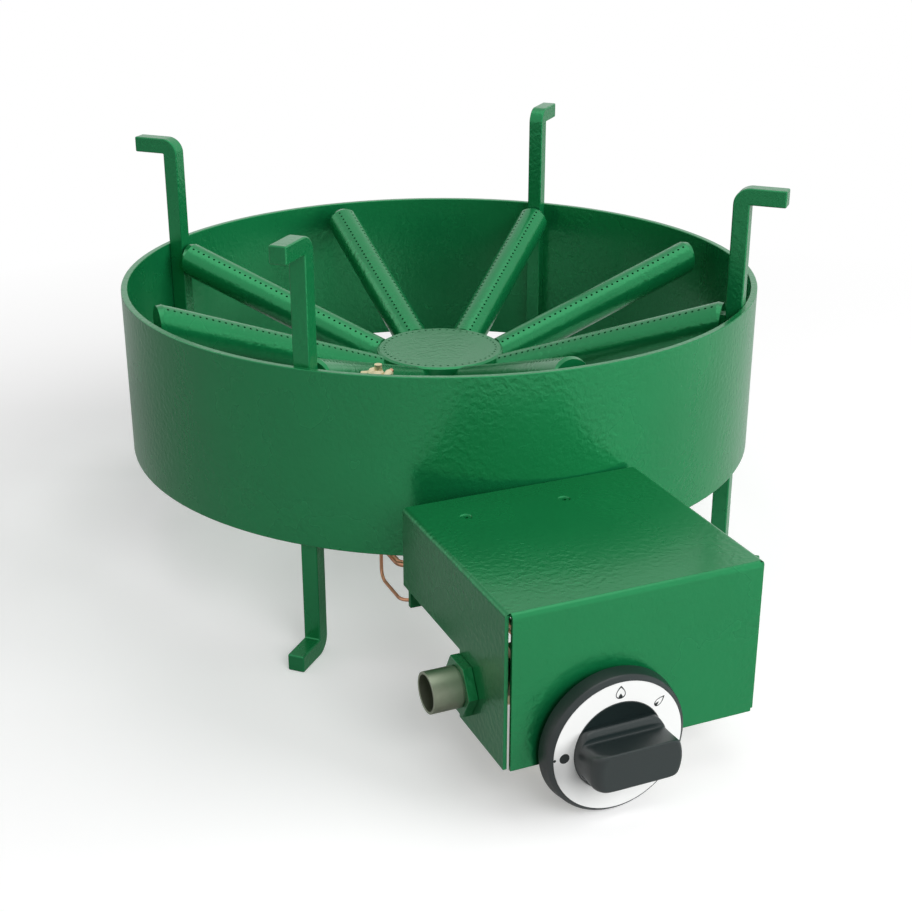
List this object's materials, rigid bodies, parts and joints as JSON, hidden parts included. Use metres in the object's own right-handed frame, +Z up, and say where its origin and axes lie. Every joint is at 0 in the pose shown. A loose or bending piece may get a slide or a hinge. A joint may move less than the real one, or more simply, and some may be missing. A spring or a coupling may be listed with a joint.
{
  "type": "gas ring burner",
  "caption": "Round floor-standing gas burner: wind ring on bent bar legs, sloping star burner arms, boxed tap with push-and-turn knob and side gas inlet.",
  "frame": {"origin": "on the ground under the middle of the whole burner's outline", "axes": "+Z up, -Y toward the knob, +X right as seen from the knob side"},
  "size_m": [0.3999, 0.5623, 0.246],
  "materials": {
    "enamel": "gloss, hammered",
    "steel": "satin",
    "brass": "machined",
    "copper": "drawn tube",
    "knob_black": "satin",
    "scale_white": "satin"
  },
  "bodies": {
    "burner": {"wind_ring": "enamel", "leg_front_left": "enamel", "leg_front_right": "enamel", "leg_back_left": "enamel", "leg_back_right": "enamel", "arm_lugs": "enamel", "burner_hub": "enamel", "burner_lid": "enamel", "burner_arm_1": "enamel", "burner_arm_2": "enamel", "burner_arm_3": "enamel", "burner_arm_4": "enamel", "burner_arm_5": "enamel", "burner_arm_6": "enamel", "burner_arm_7": "enamel", "burner_arm_8": "enamel", "mixing_tube": "steel", "injector_holder": "brass", "injector": "brass", "feed_pipe": "copper", "feed_pipe_nuts": "brass", "inlet_pipe": "steel", "inlet_locknut": "enamel", "valve_body": "brass", "valve_bonnet": "brass", "bonnet_screws": "steel", "magnet_housing": "brass", "plunger_spring": "steel", "control_cover": "enamel", "cover_screws": "enamel", "rear_bracket": "enamel", "bracket_gusset": "enamel", "pilot_bracket": "steel", "pilot_burner": "brass", "pilot_tube": "copper", "pilot_nuts": "brass", "thermocouple": "copper", "thermocouple_lead": "copper", "bracket_screw": "steel"},
    "push": {"magnet_plunger": "steel"},
    "knob_set": {"knob": "knob_black", "knob_scale": "scale_white", "valve_spindle": "brass"},
    "plug": {"valve_plug": "brass"},
    "shutter": {"air_shutter": "steel", "shutter_screw": "brass"}
  },
  "joints": [
    {"name": "knob_push", "type": "slide", "parent": "burner", "child": "push", "axis": [0, 1, 0], "range_m": [0, 0.003], "stiffness_N_per_m": 1500, "springref_m": -0.003, "deforming": ["plunger_spring"]},
    {"name": "knob_turn", "type": "hinge", "parent": "push", "child": "knob_set", "pos_m": [-0.053, -0.26065, 0.0383], "axis": [0, -1, 0], "range_deg": [0, 138]},
    {"name": "plug_turn", "type": "hinge", "parent": "burner", "child": "plug", "pos_m": [-0.053, -0.22805, 0.0383], "axis": [0, -1, 0], "range_deg": [0, 138]},
    {"name": "shutter_turn", "type": "hinge", "parent": "burner", "child": "shutter", "pos_m": [0, -0.08985, 0.0522], "axis": [0, 1, 0], "range_deg": [0, 54]}
  ],
  "couplings": [
    {"joint": "plug_turn", "follows": "knob_turn", "ratio": 1}
  ]
}
